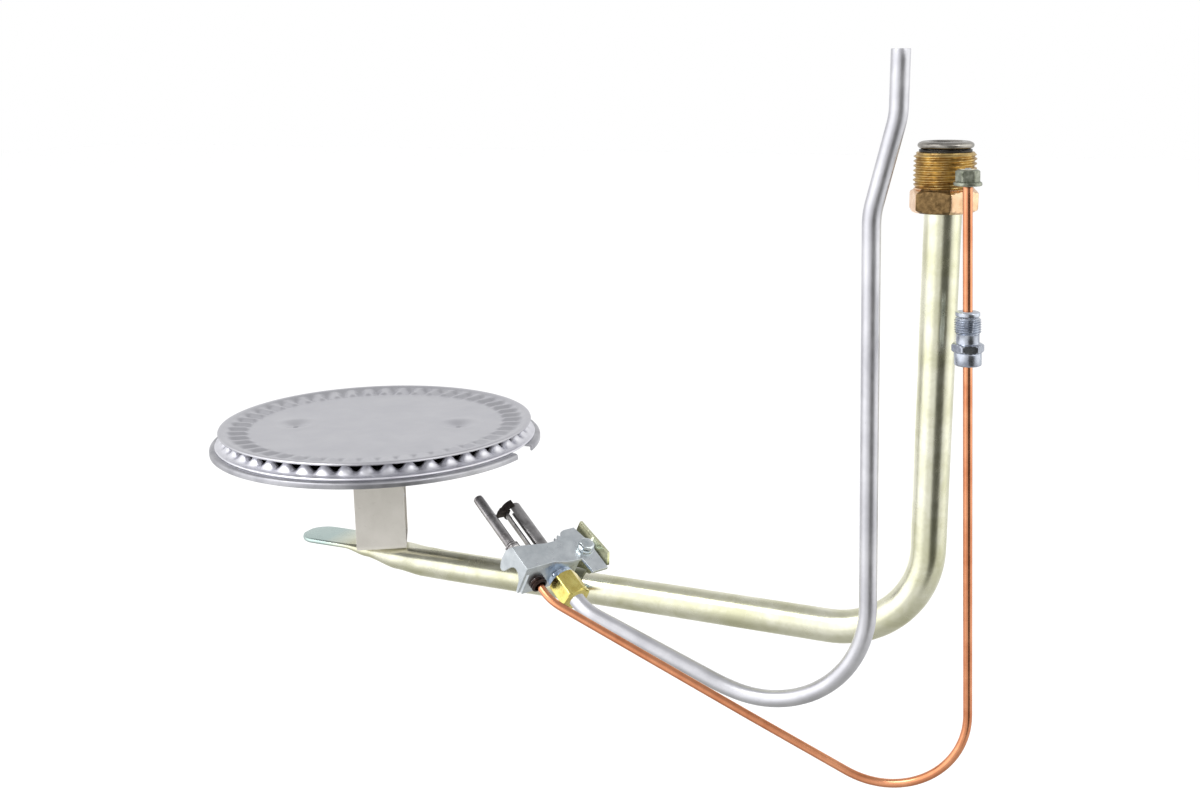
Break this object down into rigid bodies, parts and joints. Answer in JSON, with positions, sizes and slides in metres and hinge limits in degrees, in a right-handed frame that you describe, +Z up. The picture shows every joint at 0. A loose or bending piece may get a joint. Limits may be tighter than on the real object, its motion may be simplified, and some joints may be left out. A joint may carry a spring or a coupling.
{
  "type": "gas water heater burner assembly",
  "caption": "Pancake gas burner on a strap, carried by a bent half-inch manifold tube, with pilot burner, pilot tube, thermocouple and their fittings.",
  "frame": {"origin": "centre of the front face of the manifold nut's thread, on the riser's axis", "axes": "+Z up the riser and out of the nut, +X from the burner towards the riser, -Y the side that the pilot is on"},
  "size_m": [0.3263, 0.139, 0.2607],
  "materials": {
    "yellow_zinc": "satin",
    "dark_steel": "satin",
    "gold_brass": "satin",
    "brass": "satin",
    "strap_steel": "satin",
    "burner_steel": "satin",
    "blue_zinc": "satin",
    "probe_steel": "satin",
    "tube_aluminium": "satin",
    "copper": "satin",
    "ceramic": "matte"
  },
  "bodies": {
    "assembly": {"manifold_tube": "yellow_zinc", "main_orifice": "brass", "burner_strap": "strap_steel", "venturi_tube": "burner_steel", "burner_bottom_plate": "burner_steel", "burner_top_plate": "burner_steel", "burner_rivets": "burner_steel", "baffle_plate": "burner_steel", "pilot_support": "yellow_zinc", "pilot_bracket": "blue_zinc", "bracket_screw": "blue_zinc", "pilot_burner_barrel": "probe_steel", "pilot_hood": "dark_steel", "pilot_fitting": "blue_zinc", "pilot_orifice": "brass", "pilot_ferrule": "brass", "pilot_tube": "tube_aluminium", "thermocouple_probe": "probe_steel", "thermocouple_sleeve": "probe_steel", "thermocouple_clip": "dark_steel", "thermocouple_lead": "copper", "terminal_seat": "blue_zinc", "terminal_insulator": "ceramic", "terminal_contact": "blue_zinc"},
    "inlet_washer": {"manifold_thrust_washer": "dark_steel"},
    "inlet_nut": {"manifold_nut": "gold_brass"},
    "pilot_tube_nut": {"pilot_nut": "brass"},
    "lead_washer": {"lead_nut_washer": "blue_zinc"},
    "lead_coupling": {"lead_nut": "blue_zinc"}
  },
  "joints": [
    {"name": "inlet_nut_slide", "type": "slide", "parent": "assembly", "child": "inlet_washer", "axis": [0, 0, 1], "range_m": [-0.11, 0]},
    {"name": "inlet_nut_spin", "type": "hinge", "parent": "inlet_washer", "child": "inlet_nut", "pos_m": [0, 0, -0.01], "axis": [0, 0, 1], "continuous": true},
    {"name": "pilot_nut_spin", "type": "hinge", "parent": "assembly", "child": "pilot_tube_nut", "pos_m": [-0.13695, -0.01635, -0.17172], "axis": [-0.7637, 0.3891, 0.515], "continuous": true},
    {"name": "lead_nut_slide", "type": "slide", "parent": "assembly", "child": "lead_washer", "axis": [-0.0472, 0, 0.9989], "range_m": [-0.11, 0.04]},
    {"name": "lead_nut_spin", "type": "hinge", "parent": "lead_washer", "child": "lead_coupling", "pos_m": [0.01352, -0.02, -0.0522], "axis": [-0.0472, 0, 0.9989], "continuous": true}
  ]
}
